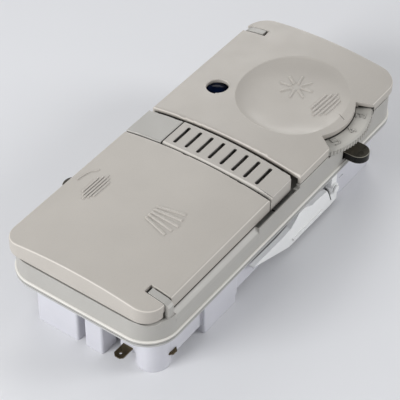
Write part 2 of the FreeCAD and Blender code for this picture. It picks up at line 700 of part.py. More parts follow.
def make_housing():
    """Rear housing with partition, feet, boss and blocks."""
    x0, x1, half = HOUSING
    w = HOUSING_WALL
    tub = rounded_box(x0, x1, -half, half, FOOT_H, DECK_LOW, HOUSING_CORNER)
    tub = tub.cut(rounded_box(x0 + w, x1 - w, -half + w, half - w, FLOOR_TOP, HIGH, HOUSING_CORNER - w))
    top = GASKET_LOW - BLOCK_DROP
    front = X_FRONT + FRONT_BLOCK_IN
    partition = RINSE_START - PARTITION_IN
    add = [tub]
    add.append(box(partition, partition + w, -half + w / 2, half - w / 2, FOOT_H + w / 2, DECK_LOW))
    for y0, y1 in FRONT_BLOCKS:
        add.append(open_block(front, x0 + w, y0, y1, top))
    boss_y = -half + BOSS_R
    boss = rod(X_FRONT + BOSS_IN, boss_y, 0, BOSS_R, top, UP)
    add.append(boss.cut(rod(X_FRONT + BOSS_IN, boss_y, 0, BOSS_R - BLOCK_SHELL, FOOT_H, UP)))
    side = -half - SIDE_BLOCK_OUT
    add.append(open_block(*SIDE_BLOCK, side, side + BLOCK_DEPTH, FOOT_H + w / 2))
    add.append(box(*SIDE_BLOCK, side, -half + w / 2, FOOT_H, top - SIDE_BLOCK_DROP))
    side = -half - FAR_BLOCK_OUT
    add.append(open_block(*FAR_BLOCK, side, side + BLOCK_DEPTH, FOOT_H + w / 2))
    add.append(box(*FAR_BLOCK, side, -half + w / 2, FOOT_H, top))
    add.append(open_block(*FAR_FOOT, half - FOOT_W, half, FOOT_H + w / 2))
    pivot_x, pivot_z = LEVER_PIVOT
    add.append(rod(pivot_x, -half - LEVER_GAP + FIT, pivot_z, LEVER_HUB_R, BLOCK_DEPTH, ACROSS))
    holder = FRONT_BLADE_Y - BLADE_W / 2 - BLOCK_SHELL
    holder_top = FOOT_H + FRONT_BLADE_UP + BLADE_T + BLOCK_SHELL
    add.append(box(x0 - HOLDER_L, x0 + w, holder, holder + BLADE_W + 2 * BLOCK_SHELL, FOOT_H, holder_top))
    for x, y in SCREWS:
        add.append(rod(x, y, FOOT_H, SCREW_SEAT_R, SCREW_SEAT_H, UP))
    cut = [bolt_pocket(BOLT_RIGHT_X, -1)[0], bolt_pocket(BOLT_LEFT_X, 1)[0]]
    for x, y in SCREWS:
        cut.append(rod(x, y, FOOT_H, SCREW_R, SCREW_L, UP))
        cut.append(rod(x, y, FOOT_H, SCREW_HEAD_R + FIT, SCREW_HEAD_H + FIT, UP))
    cut.append(rod(pivot_x, -HALF_WIDTH, pivot_z, LEVER_PIN_R, BLOCK_DEPTH + HOUSING_SIDE, ACROSS))
    cut += [terminal_front(), terminal_side()]
    slot_x0, slot_x1, slot_z0, slot_z1 = FAR_SLOT
    cut.append(box(slot_x0, slot_x1, side - 1, side + FAR_SLOT_DEPTH, slot_z0, slot_z1))
    return fused(add).cut(joined(cut))


def make_gasket():
    """Rubber ring under the rim, with a groove above its lip."""
    lip = frame_slab(GASKET_IN, GASKET_LOW, GASKET_LOW + GASKET_H)
    neck = frame_slab(GASKET_IN + GASKET_LIP, GASKET_LOW + GASKET_H / 2, RIM_LOW)
    return lip.fuse(neck).cut(frame_slab(GASKET_IN + GASKET_W, GASKET_LOW - 1, HIGH)).removeSplitter()


def seal_ring(z0, z1):
    """Ring over the detergent cup's rim."""
    return cup_block(CUP_WALL, z0, z1).cut(cup_block(0, z0 - 1, z1 + 1))


def make_detergent_lid():
    """Crowned detergent lid with knuckles, seal rib and moulded marks."""
    low = DET_WALL_TOP + PARTING
    face = X_FRONT + LID_GAP
    lid = lid_shell(face, DET_END, DET_RIGHT, HALF_WIDTH - LID_GAP, low, face, LID_CORNER)
    toe = [e for e in lid.Edges if e.BoundBox.ZMax < low + 0.01 and e.BoundBox.XMax < face + 0.01]
    lid = lid.makeFillet(LID_TOE, toe)
    parts, bore = knuckles(DET_AXIS, PIN_R)
    rib = seal_ring(CUP_RIM + FIT + SEAL_H, HIGH).common(crown(LID_SKIN / 2))
    middle = (X_FRONT + DET_END) / 2
    lines = fan(middle + FAN[0], FAN[1], FAN_PITCH, FAN_SPREAD, FAN_L)
    lines += hatch(middle + DET_HATCH[0], HALF_WIDTH - DET_HATCH[1], DET_HATCH_PITCH, DET_HATCH_REACH, 0)
    bends = [(middle + x, HALF_WIDTH - y) for x, y in ARC]
    arc = [start + end for start, end in zip(bends, bends[1:])]
    marks = crown_marks(lines, MARK_W) + crown_marks(arc, MARK_W * 0.7)
    tab = X_FRONT + TAB_IN
    slot = tab_slot(DET_AXIS, tab, tab + TAB_W, low)
    return fused([lid] + parts + [rib] + marks).cut(joined([bore, slot]))


def bowl(lift):
    """Room over the sunken dish: a flat floor that sweeps up to its edge, lifted by a height."""
    floor = DISH_FLOOR + lift
    edge = floor + DISH_WALL
    sweep = Part.BSplineCurve()
    sweep.interpolate(Points=[V(r * DISH_R, 0, floor + h * DISH_WALL) for r, h in DISH_SWEEP],
                      InitialTangent=ALONG, FinalTangent=V(DISH_R / 10, 0, DISH_WALL * 0.8))
    end = sweep.value(sweep.LastParameter)
    top = V(0, 0, edge + CROWN)
    lines = [Part.makeLine(end, V(end.x, 0, top.z)), Part.makeLine(V(end.x, 0, top.z), top)]
    lines.append(Part.makeLine(top, V(0, 0, floor)))
    face = Part.Face(Part.Wire([sweep.toShape()] + lines))
    solid = face.revolve(V(0, 0, 0), UP, 360)
    solid.translate(V(*DISH, 0))
    return solid


def make_rinse_lid():
    """Crowned rinse-aid lid with sunken dish, sight hole and dial notch."""
    low = RINSE_WALL_TOP + PARTING
    half = HALF_WIDTH - LID_GAP
    far = X_FAR - LID_GAP
    lid = lid_shell(RINSE_START, far, -half, half, low, far, RINSE_CORNER)
    boss = rod(*DISH, DISH_LOW, DISH_R + DISH_RIM, HIGH - DISH_LOW, UP).common(crown(LID_SKIN / 2))
    parts, bore = knuckles(RINSE_AXIS, RINSE_PIN_R)
    lid = fused([lid, boss] + parts).cut(bowl(0))
    lines = star(DISH[0] + STAR[0], DISH[1] + STAR[1], *STAR_R)
    lines += hatch(DISH[0] + RINSE_HATCH[0], DISH[1] + RINSE_HATCH[1],
                   RINSE_HATCH_PITCH, RINSE_HATCH_REACH, RINSE_HATCH_SLOPE)
    skin = bowl(-LID_SKIN / 4).cut(bowl(MARK)).common(crown(0))
    lid = fused([lid] + [bar(*line, MARK_W).common(skin) for line in lines])

    cut = [bore, rod(*SIGHT, low, SIGHT_R + FIT, HIGH, UP)]
    front = box(RINSE_START - 1, RINSE_START + 2 * SKIRT, SKIRT - half, half - SKIRT, low - 1, HIGH)
    cut.append(front.common(crown(LID_SKIN)))
    index = bar(*[DISH[k] + end[k] for end in INDEX for k in (0, 1)], FINE_W)
    cut.append(index.cut(crown(MARK)))
    flare_z = crown_z(SIGHT[1]) - SIGHT_FLARE * 0.7
    cut.append(Part.makeCone(SIGHT_R, SIGHT_R + SIGHT_FLARE, SIGHT_FLARE, V(*SIGHT, flare_z), UP))
    cut.append(dial_sector(DISH_R, 2 * DIAL_R, low - 1, HIGH, NOTCH_HALF_ANGLE))
    cut.append(tube(*DISH, low - 1, DIAL_R + DIAL_CLEAR, COLLAR_R, DISH_LOW - low + 1))
    far_tab = X_FAR - RINSE_TAB_IN
    turned = (-RINSE_AXIS[0], RINSE_AXIS[1])
    cut.append(half_turn(tab_slot(turned, -far_tab, TAB_W - far_tab, low)))
    return lid.cut(joined(cut))


def dial_sector(r_in, r_out, z0, z1, half_angle):
    """Ring sector round the dish's centre, towards the right side."""
    ring = tube(*DISH, z0, r_out, r_in, z1 - z0)
    a = math.radians(half_angle)
    tip = [V(*DISH, z0)]
    for k in (-1, -0.5, 0, 0.5, 1):
        tip.append(V(DISH[0] + 3 * r_out * math.sin(a * k), DISH[1] - 3 * r_out * math.cos(a * k), z0))
    wedge = Part.Face(Part.makePolygon(tip + tip[:1])).extrude(V(0, 0, z1 - z0))
    return ring.common(wedge)


def digit(strokes, turn):
    """Number made of strokes on a grid of one by two, set on the dial at an angle."""
    bars = []
    for x0, y0, x1, y1 in strokes:
        start = (DIGIT_W * (x0 - 0.5), DIGIT_H * (y0 / 2 - 0.5))
        end = (DIGIT_W * (x1 - 0.5), DIGIT_H * (y1 / 2 - 0.5))
        bars.append(bar(*start, *end, DIGIT_LINE))
    mark = fused(bars) if len(bars) > 1 else bars[0]
    mark.translate(V(DISH[0], DISH[1] - DIAL_R + DIGIT_IN, 0))
    mark.rotate(V(*DISH, 0), UP, turn)
    return mark.common(box(X_FRONT, X_FAR, -2 * HALF_WIDTH, HALF_WIDTH, DIAL_TOP - MARK, DIAL_TOP + MARK))


def make_dial():
    """Dosing dial: ring on the collar with a numbered, ridged grip band."""
    ring = tube(*DISH, DIAL_LOW, DIAL_RING_R, COLLAR_R + RUNNING, DIAL_RING_H)
    grip = dial_sector(DIAL_RING_R - DIAL_LAP, DIAL_R, DIAL_LOW, DIAL_TOP, DIAL_HALF_ANGLE)
    rim = [e for e in grip.Edges if e.BoundBox.ZMin > DIAL_TOP - 0.01]
    grip = grip.makeFillet(DIAL_ROUND, [max(rim, key=lambda e: e.Length)])
    five = [(1, 2, 0, 2), (0, 2, 0, 1), (0, 1, 1, 1), (1, 1, 1, 0), (1, 0, 0, 0)]
    three = [(0, 2, 1, 2), (1, 2, 1, 0), (0.2, 1, 1, 1), (0, 0, 1, 0)]
    four = [(0.7, 2, 0, 0.7), (0, 0.7, 1, 0.7), (0.7, 2, 0.7, 0)]
    two = [(0, 2, 1, 2), (1, 2, 1, 1), (1, 1, 0, 1), (0, 1, 0, 0), (0, 0, 1, 0)]
    marks = [digit(five, -21), digit(four, 0), digit(three, 21), digit(two, 42)]
    ridges = []
    count = int((DIAL_HALF_ANGLE - DIAL_RIDGE_STEP) / DIAL_RIDGE_STEP)
    for k in range(-count, count + 1):
        ridge = rod(DISH[0], DISH[1] - DIAL_R, DIAL_LOW, DIAL_RIDGE_R, DIAL_H - DIAL_ROUND / 2, UP)
        ridge.rotate(V(*DISH, 0), UP, k * DIAL_RIDGE_STEP)
        ridges.append(ridge)
    return fused([ring, grip] + marks + ridges)


def make_window():
    """Domed sight window, seated in its tube and standing in the lid's hole."""
    top = SIGHT_TOP + SIGHT_PROUD
    dome = Part.makeSphere(SIGHT_DOME, V(*SIGHT, top - SIGHT_DOME))
    glass = rod(*SIGHT, SIGHT_TOP - SIGHT_SEAT, SIGHT_R - RUNNING, SIGHT_SEAT + SIGHT_PROUD, UP)
    return glass.common(dome)


def make_latch():
    """Slotted latch button with a sloped front edge, two guide legs and a spring rib."""
    x0, x1, y0, y1 = LATCH
    solid = box(x0, x1, y0, y1, LATCH_LOW, HIGH)
    corner = [e for e in upright(solid) if e.CenterOfMass.x > x1 - 0.01 and e.CenterOfMass.y < y0 + 0.01]
    solid = solid.makeChamfer(LATCH_CUT, corner).common(crown(0))
    solid = solid.makeFillet(LATCH_ROUND, [e for e in solid.Edges if e.BoundBox.ZMin > LATCH_LOW + LATCH_UP])
    run, drop = LATCH_SLOPE
    ramp = crown(0)
    ramp.rotate(V(x0 + run, 0, EDGE_Z + CROWN), ACROSS, -math.degrees(math.atan2(drop, run)))
    solid = solid.cut(box(x0 - 1, x0 + 2 * run, y0 - 1, y1 + 1, LATCH_LOW, HIGH).cut(ramp))
    w = LATCH_WALL
    hollow = box(x0 + w, x1 - w, y0 + LATCH_END_WALL, y1 - w, LATCH_LOW - 1, HIGH)
    add = [solid.cut(hollow.common(crown(LID_SKIN)))]
    leg_x, leg_ys = latch_legs()
    foot = DECK_LOW - LEG_DROP
    for y in leg_ys:
        add.append(box(leg_x, leg_x + LEG_L, y, y + LEG_W, foot, HIGH).common(crown(LID_SKIN / 2)))
        add.append(box(leg_x, leg_x + LEG_L, y - LEG_HOOK, y + LEG_W, foot, DECK_LOW - LEG_SLACK))
    rib_y = SPRING_Y - POST_W / 2
    rib = box(x0 + RIB_IN, x0 + RIB_IN + RIB_T, rib_y, rib_y + POST_W, LATCH_LOW, HIGH)
    add.append(rib.common(crown(LID_SKIN / 2)))
    slots = []
    for k in range(SLOT_COUNT):
        y = y1 - SLOT_FIRST - k * SLOT_PITCH - SLOT_W / 2
        slots.append(rounded_box(x0 + SLOT_IN, x1 - SLOT_OUT, y, y + SLOT_W, LATCH_LOW, HIGH, SLOT_W * 0.49))
    rib_room = box(x0, x1, rib_y, rib_y + POST_W, LATCH_LOW, EDGE_Z)
    leg_room = [box(leg_x, leg_x + LEG_L, y, y + LEG_W, LATCH_LOW, EDGE_Z - LID_SKIN) for y in leg_ys]
    return fused(add).cut(joined(slots).cut(joined([rib_room] + leg_room)))


def coil(start, axis, length, r, wire, turns):
    """Coil spring along an axis, its wire within the length."""
    pitch = (length - 2 * wire) / turns
    helix = Part.makeHelix(pitch, pitch * turns, r)
    section = Part.Wire([Part.makeCircle(wire, V(r, 0, 0), ACROSS)])
    spring = Part.Wire(helix).makePipeShell([section], True, True)
    spring.Placement = FreeCAD.Placement(start + axis * wire, FreeCAD.Rotation(UP, axis))
    return spring


def latch_spring():
    """Spring between the latch's rib and the post on the deck."""
    x = LATCH[0] + RIB_IN + RIB_T
    length = RINSE_START - POST_IN - x
    return coil(V(x, SPRING_Y, LATCH_LOW + SPRING_UP), ALONG, length, SPRING_R, SPRING_WIRE, SPRING_TURNS)


def bolt_spring(x, side):
    """Spring between a bolt's bore and the back of its pocket."""
    back = HALF_WIDTH - BOLT_POCKET
    length = BOLT_POCKET - BOLT_IN + BOLT_BORE_L
    start = V(x, side * back, (BOLT_LOW + BOLT_HIGH) / 2)
    return coil(start, ACROSS * side, length, BOLT_SPRING_R, BOLT_SPRING_WIRE, BOLT_SPRING_TURNS)


def make_bolt(x, side):
    """Half-round mounting bolt with a bore for its spring."""
    tail = HALF_WIDTH - BOLT_IN
    nose = HALF_WIDTH + BOLT_OUT - BOLT_W / 2
    body = box(x - BOLT_W / 2, x + BOLT_W / 2, tail, nose, BOLT_LOW, BOLT_HIGH)
    bolt = body.fuse(rod(x, nose, BOLT_LOW, BOLT_W / 2, BOLT_H, UP)).removeSplitter()
    face = [e for e in bolt.Edges if e.BoundBox.ZMin > BOLT_HIGH - 0.01 and e.BoundBox.YMax > nose + 1]
    bolt = bolt.makeFillet(BOLT_ROUND, face)
    bolt = bolt.cut(rod(x, tail, (BOLT_LOW + BOLT_HIGH) / 2, BOLT_BORE_R, BOLT_BORE_L, ACROSS))
    return bolt.mirror(V(0, 0, 0), ACROSS) if side < 0 else bolt


def make_lever():
    """Actuator lever with a sprung end at its pivot."""
    pivot_x, pivot_z = LEVER_PIVOT
    arm_top = GASKET_LOW - LEVER_ARM_GAP
    left, right = pivot_x + LEVER_ARM[0], pivot_x + LEVER_ARM[1]
    heel_x, heel_z = pivot_x + LEVER_HEEL[0], pivot_z + LEVER_HEEL[1]
    points = list(LEVER_SWEEP) + [(pivot_x + x, pivot_z + z) for x, z in LEVER_FOOT]
    points += [(right, pivot_z), (right, arm_top), (left, arm_top), (left, heel_z), (heel_x, heel_z)]
    plate = plate_xz(points + list(LEVER_BACK), *LEVER_Y)
    x0, x1, z0, z1 = LEVER_RIB_BOX
    rib = box(x0, x1, LEVER_Y[0] - LEVER_RIB, LEVER_Y[1], z0, z1)
    hub = rod(pivot_x, LEVER_Y[0] - LEVER_HUB_OUT, pivot_z, LEVER_HUB_R, LEVER_T + LEVER_HUB_OUT, ACROSS)
    bore = rod(pivot_x, -2 * HALF_WIDTH, pivot_z, LEVER_PIN_R + RUNNING, 2 * HALF_WIDTH, ACROSS)
    hook = [(pivot_x + x, pivot_z + z) for x, z in LEVER_HOOK]
    slit = [(hook[0][0], HIGH)] + hook
    slit += [(x + w, z) for (x, z), w in zip(hook[::-1], (LEVER_SLIT, LEVER_SLIT, 2 * LEVER_SLIT))]
    slit.append((hook[0][0] + 2 * LEVER_SLIT, HIGH))
    return fused([plate, rib, hub]).cut(joined([bore, plate_xz(slit, -HALF_WIDTH - 1, -HOUSING[2])]))


def make_lever_pin():
    """Headed pivot pin of the lever."""
    pivot_x, pivot_z = LEVER_PIVOT
    head_y = LEVER_Y[0] - LEVER_HUB_OUT - FIT
    length = BLOCK_DEPTH - HOUSING_WALL - HOUSING[2] - head_y
    shank = rod(pivot_x, head_y, pivot_z, LEVER_PIN_R, length, ACROSS)
    head = rod(pivot_x, head_y - HOUSING_WALL / 2, pivot_z, LEVER_PIN_HEAD, HOUSING_WALL / 2, ACROSS)
    return head.fuse(shank).removeSplitter()


def blade(length):
    """Blade terminal along X, its tip at the origin, with a locking hole."""
    solid = box(0, length, -BLADE_W / 2, BLADE_W / 2, 0, BLADE_T)
    solid = solid.makeChamfer(BLADE_POINT, [e for e in upright(solid) if e.CenterOfMass.x < 0.01])
    return solid.cut(rod(BLADE_W / 2, 0, 0, BLADE_HOLE_R, BLADE_T, UP))


def terminal_front():
    """Blade under the front edge, from its tip through the holder and the housing's wall."""
    solid = blade(HOUSING_FRONT - FRONT_BLADE_TIP + HOUSING_WALL)
    solid.translate(V(X_FRONT + FRONT_BLADE_TIP, FRONT_BLADE_Y, FOOT_H + FRONT_BLADE_UP))
    return solid


def terminal_side():
    """Blade on the right side, set in the boss."""
    solid = blade(BLADE_L)
    solid.rotate(V(0, 0, 0), UP, 90)
    solid.translate(V(SIDE_BLADE_X, -HOUSING[2] - SIDE_BLADE_OUT, FOOT_H + SIDE_BLADE_UP))
    return solid


def make_wax_motor():
    """Actuator block inside the housing."""
    x = DET_END - MOTOR_OFF
    y = -HOUSING[2] + HOUSING_WALL + MOTOR_SIDE
    can = box(x, x + MOTOR_L, y, y + MOTOR_W, FLOOR_TOP, FLOOR_TOP + MOTOR_H)
    neck_l = MOTOR_L / 2 + MOTOR_NECK_L
    neck = rod(x + MOTOR_L / 2, y + MOTOR_W / 2, FLOOR_TOP + MOTOR_H / 2, MOTOR_NECK_R, neck_l, ALONG)
    return can.fuse(neck).removeSplitter()


def make_screw(x, y):
    """Housing screw with a slotted head."""
    low = FOOT_H + FIT
    head = rod(x, y, low, SCREW_HEAD_R, SCREW_HEAD_H, UP)
    shank = rod(x, y, low, SCREW_R, SCREW_L, UP)
    drive = box(x - SCREW_R, x + SCREW_R, y - SCREW_DRIVE / 2, y + SCREW_DRIVE / 2, low, low + SCREW_DRIVE)
    return head.fuse(shank).removeSplitter().cut(drive)


def make_strainer():
    """Perforated disc on the deck in the filler."""
    disc = rod(*DISH, DECK_TOP, FILL_HOLE_R + STRAINER_LAP, STRAINER_T, UP)
    holes = [rod(*DISH, DECK_TOP, STRAINER_HOLE_R, STRAINER_T, UP)]
    for k in range(6):
        a = math.pi * k / 3
        x = DISH[0] + STRAINER_PCD / 2 * math.cos(a)
        y = DISH[1] + STRAINER_PCD / 2 * math.sin(a)
        holes.append(rod(x, y, DECK_TOP, STRAINER_HOLE_R, STRAINER_T, UP))
    return disc.cut(joined(holes))


def rinse_seal():
    """Ring under the dish, over the filler's collar."""
    middle = COLLAR_BORE + COLLAR_WALL / 2
    r_in = middle - RINSE_SEAL_W / 2
    return tube(*DISH, COLLAR_TOP + SEAL_GAP, middle + COLLAR_WALL / 3, r_in, RINSE_SEAL_H)


def build():
    """All pieces by node name."""
    nodes = {
        "front_frame": make_frame(),
        "detergent_cup": make_cup(),
        "filler_collar": make_collar(),
        "rear_housing": make_housing(),
        "door_gasket": make_gasket(),
        "detergent_lid": make_detergent_lid(),
        "detergent_lid_seal": seal_ring(CUP_RIM + FIT, CUP_RIM + FIT + SEAL_H),
        "detergent_hinge_pin": hinge_pin(DET_AXIS, PIN_R),
        "rinse_lid": make_rinse_lid(),
        "rinse_lid_seal": rinse_seal(),
        "rinse_hinge_pin": hinge_pin(RINSE_AXIS, RINSE_PIN_R),
        "latch_button": make_latch(),
        "latch_spring": latch_spring(),
        "dosing_dial": make_dial(),
        "sight_window": make_window(),
        "filler_strainer": make_strainer(),
        "actuator_lever": make_lever(),
        "lever_pivot_pin": make_lever_pin(),
        "wax_motor": make_wax_motor(),
        "mounting_bolt_right": make_bolt(BOLT_RIGHT_X, -1),
        "mounting_bolt_left": make_bolt(BOLT_LEFT_X, 1),
        "bolt_spring_right": bolt_spring(BOLT_RIGHT_X, -1),
        "bolt_spring_left": bolt_spring(BOLT_LEFT_X, 1),
        "terminal_front": terminal_front(),
        "terminal_side": terminal_side(),
    }
    for number, (x, y) in enumerate(SCREWS, 1):
        nodes["housing_screw_%d" % number] = make_screw(x, y)
    return nodes


os.makedirs("parts", exist_ok=True)
centre_x = -(X_FRONT + X_FAR) / 2
for name, shape in build().items():
    shape.translate(V(centre_x, 0, 0))
    shape.exportStep("parts/%s.step" % name)
    print(name, len(shape.Solids), shape.isValid(), round(shape.Volume))
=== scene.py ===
"""Looks of a dishwasher door dispenser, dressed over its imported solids."""

import json

import bpy
from mathutils import Matrix, Vector


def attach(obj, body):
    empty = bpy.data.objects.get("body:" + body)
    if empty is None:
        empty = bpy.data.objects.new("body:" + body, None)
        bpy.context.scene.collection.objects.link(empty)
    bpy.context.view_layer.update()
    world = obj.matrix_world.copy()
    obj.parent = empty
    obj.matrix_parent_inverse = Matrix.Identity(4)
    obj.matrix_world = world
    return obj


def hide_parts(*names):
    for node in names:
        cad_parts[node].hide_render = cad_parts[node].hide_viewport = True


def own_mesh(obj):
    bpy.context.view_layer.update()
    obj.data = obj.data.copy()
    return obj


# Lengths are in metres. A noise pattern is its waves per metre and its detail, a roughness runs
# from smooth to dull, and a shade is a share of the material's colour.

# Camera, fitted to the photograph
PICTURE_PX = 400
FOCAL_PX = 1561.56
SENSOR_MM = 36.0
CAMERA_AT = (-0.53178, -0.36696, 0.62260)
CAMERA_TURN = (
    (0.583292, 0.551862, -0.596002),
    (-0.812208, 0.404764, -0.420100),
    (0.009404, 0.729119, 0.684322),
)

# Floor and world
FLOOR_HALF = 4.0
FLOOR_COLOUR = (0.80, 0.80, 0.81)
FLOOR_CLOUDS = (6.0, 3.0)
FLOOR_SHADES = (0.99, 1.01)
FLOOR_ROUGH = 0.7
FLOOR_GLOSS = 0.2
WORLD_COLOUR = (0.94, 0.96, 1.0)
WORLD_LIGHT = 0.42

# Lamps: an area's spread is its side and its power is in watts; a sun's are its angle and strength
WARM = (1.0, 0.99, 0.97)
COOL = (0.97, 0.98, 1.0)
LIGHT_AIM = Vector((0.0, 0.0, 0.03))
LAMPS = {
    "front_lamp": {
        "kind": "AREA",
        "at": (-1.275, 0.45, 0.675),
        "spread": 0.7,
        "power": 15.2,
        "colour": COOL,
    },
    "back_lamp": {
        "kind": "SUN",
        "at": (1.20, 0.75, 0.525),
        "spread": 0.5,
        "power": 0.95,
        "colour": WARM,
    },
    "side_lamp": {
        "kind": "SUN",
        "at": (0.825, -1.08, 0.63),
        "spread": 0.4,
        "power": 1.10,
        "colour": COOL,
    },
}

# Colours as they are lit by white light
LID = (0.502, 0.467, 0.418)
FRAME = (0.447, 0.432, 0.398)
LATCH = (0.487, 0.457, 0.413)
DIAL = (0.502, 0.481, 0.434)
NATURAL = (0.640, 0.636, 0.672)
GASKET = (0.450, 0.445, 0.430)
SEAL = (0.200, 0.200, 0.200)
STEEL = (0.620, 0.620, 0.615)
WINDOW = (0.001, 0.004, 0.018)
LEVER = (0.920, 0.920, 0.905)
MOTOR = (0.700, 0.700, 0.680)
BLACK = (0.017, 0.016, 0.013)
BRONZE = (0.170, 0.135, 0.080)

# Shared by several materials
NOISE_SPAN = (0.3, 0.7)                 # values between which most of a noise lies
EDGE_LIGHT_SPAN = (0.75, 0.99)                # agreement of normals where painted edge light is full, and where it ends
HIGHLIGHT_BAND = (0.42, 0.78, 0.06)               # upward part of the normal on rounded edges with a painted highlight, and softness
UPWARD = (0.85, 1.20, 0.10)             # the same on flat tops, which get a painted sheen
PLASTIC_IOR = 1.49
BEVEL_SAMPLES = 6
HIDDEN_SAMPLES = 8
MIX_COLOURS = (6, 7)                    # places of a colour Mix node's two inputs
MIX_RESULT = 2                          # place of its output

# Moulded plastic
MOULD_CLOUDS = (26.0, 4.0)
MOULD_SHADES = (0.955, 1.03)
MOULD_SPECKS = (1900.0, 2.0)
MOULD_SPECK_SPAN = (0.55, 0.75)         # noise where specks start, and where they are full
MOULD_SPECK_SHARE = 0.5
MOULD_SPECK_SHADE = 0.88
MOULD_SATIN = (90.0, 3.0)
MOULD_ROUGH = (0.42, 0.54)
MOULD_GRAIN = (2600.0, 2.0)
MOULD_GRAIN_DEPTH = 0.00003
MOULD_GRAIN_STRENGTH = 0.6
MOULD_EDGE = 0.0005
# Painted highlight along edges, as a share of the colour
MOULD_EDGE_HIGHLIGHT = 1.45
# Painted shade in joints, slots and hollows that little open sky reaches
CREVICE_SHADE_TONE = 0.06
CREVICE_SHADE_REACH = 0.006
CREVICE_SHADE_SPAN = (0.12, 0.36)               # open sky where the painted shade is full, and where it ends
LATCH_CREVICE_SHADE_SPAN = (0.53, 0.68)
RIM_BEAD = (0.0299, 0.0306, 0.0001)     # heights of the frame's bead, and its softness
RIM_BEAD_SHADE = 1.75
# Painted highlights on rounded edges that face upwards, as shares of the colour
FRAME_HIGHLIGHT = 1.30
LID_HIGHLIGHT = 1.38
LID_EDGE = 0.0010
LATCH_EDGE = 0.0008
# Painted shade along the dial's edges
DIAL_EDGE_SHADE = 0.32
LEVER_ROUGH = (0.30, 0.42)
LEVER_EDGE = 0.0004
LEVER_GRAIN_DEPTH = 0.00002
# Painted highlight along the lever's edges
LEVER_EDGE_HIGHLIGHT = 1.08

# Milky plastic
MILKY_CLOUDS = (34.0, 4.0)
MILKY_SHADES = (0.95, 1.04)
MILKY_EDGE = 0.0009
# Painted highlight along the milky plastic's edges
MILKY_EDGE_HIGHLIGHT = 1.25
MILKY_PATCHES = (120.0, 3.0)
MILKY_ROUGH = (0.33, 0.38)
MILKY_RIPPLE = (900.0, 2.0)
MILKY_RIPPLE_DEPTH = 0.00002
MILKY_RIPPLE_STRENGTH = 0.5
MILKY_SINK = 0.25                       # share of the light that sinks in
MILKY_SINK_DEPTH = 0.001
MILKY_SINK_COLOURS = (1.0, 0.95, 1.1)

# Rubber
RUBBER_DUST = (140.0, 5.0)
RUBBER_SHADES = (1.0, 1.25)
RUBBER_DUST_SHARE = 0.6
RUBBER_PATCHES = (300.0, 3.0)
RUBBER_ROUGH = (0.62, 0.80)
RUBBER_GRAIN = (1500.0, 3.0)
RUBBER_GRAIN_DEPTH = 0.00006
RUBBER_GRAIN_STRENGTH = 0.6
RUBBER_GLOSS = 0.35

# Metal
METAL_LINES = (900.0, 2.0)
METAL_LINE_DEPTH = 0.00002
METAL_LINE_STRENGTH = 0.4
METAL_PATCHES = (210.0, 4.0)
METAL_EDGE = 0.0002
STEEL_ROUGH = (0.18, 0.34)
STEEL_STRETCH = (1.0, 1.0, 0.08)
STEEL_SHADES = (1.0, 0.85)
BRONZE_ROUGH = (0.24, 0.46)
BRONZE_STRETCH = (0.1, 1.0, 1.0)
BRONZE_SHADES = (1.0, 0.55)

# Black plastic
BLACK_SHEEN_STREAKS = (160.0, 5.0)
BLACK_SHEEN_SHARE = 0.8
BLACK_BROWN_SHEEN = (5.0, 4.5, 4.0)           # shade of each channel in the painted sheen's streaks
# Painted sheen on tops, painted shade on sides and painted highlight on rims, as shares of the
# colour
BLACK_TOP_SHEEN = 2.4
BLACK_SIDE_SHADE = 0.3
BLACK_RIM_HIGHLIGHT = 20.0
BLACK_EDGE = 0.0006
BLACK_ROUGH = (0.24, 0.38)
BLACK_MARKS = (700.0, 3.0)
BLACK_MARK_DEPTH = 0.00003
BLACK_MARK_STRENGTH = 0.4
BLACK_GLOSS = 0.2
BLACK_COAT = 0.12
BLACK_COAT_ROUGH = 0.25

# Sight window
WINDOW_SWIRL = (240.0, 2.0)
WINDOW_SHADES = (0.35, 1.4)
WINDOW_PATCHES = (400.0, 2.0)
WINDOW_ROUGH = (0.03, 0.08)
WINDOW_GLOSS = 0.02

# Springs: node, joint, axis and fixed end
SPRINGS = (
    ("latch_spring", "latch_slide", 0, 0.0045),
    ("bolt_spring_right", "bolt_right_slide", 1, -0.0335),
    ("bolt_spring_left", "bolt_left_slide", 1, 0.0335),
)


